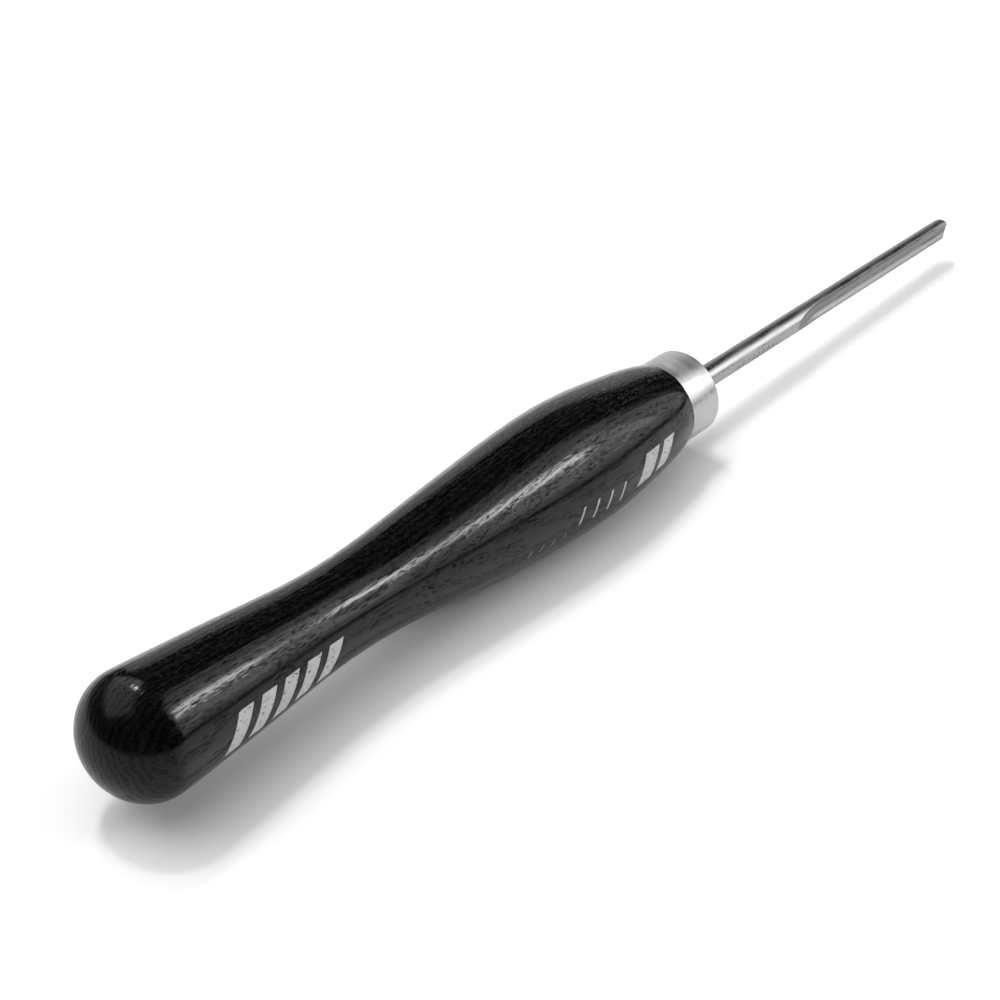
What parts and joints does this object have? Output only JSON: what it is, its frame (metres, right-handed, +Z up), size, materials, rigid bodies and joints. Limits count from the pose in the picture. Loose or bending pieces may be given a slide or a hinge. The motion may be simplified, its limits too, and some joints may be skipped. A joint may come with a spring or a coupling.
{
  "type": "small woodturning gouge",
  "caption": "Small fluted gouge for woodturning: round steel bar with a ground nose, short ferrule, black lacquered turned wood handle.",
  "frame": {"origin": "halfway along the tool, on the level of the belly's underside", "axes": "+X along the tool from the butt to the nose, +Z up with the tool lying down, the flute opens towards -Y"},
  "size_m": [0.3689, 0.036, 0.0359],
  "materials": {
    "lacquered_wood": "open-grained ash under a glossy black lacquer",
    "ferrule_metal": "turned and finely brushed",
    "tool_steel": "centreless ground bar, milled flute, fresh grind on the nose",
    "cured_epoxy": "cured, glossy"
  },
  "bodies": {
    "root": {"handle": "lacquered_wood", "ferrule": "ferrule_metal", "epoxy_bed": "cured_epoxy", "gouge_blade": "tool_steel"}
  },
  "joints": []
}
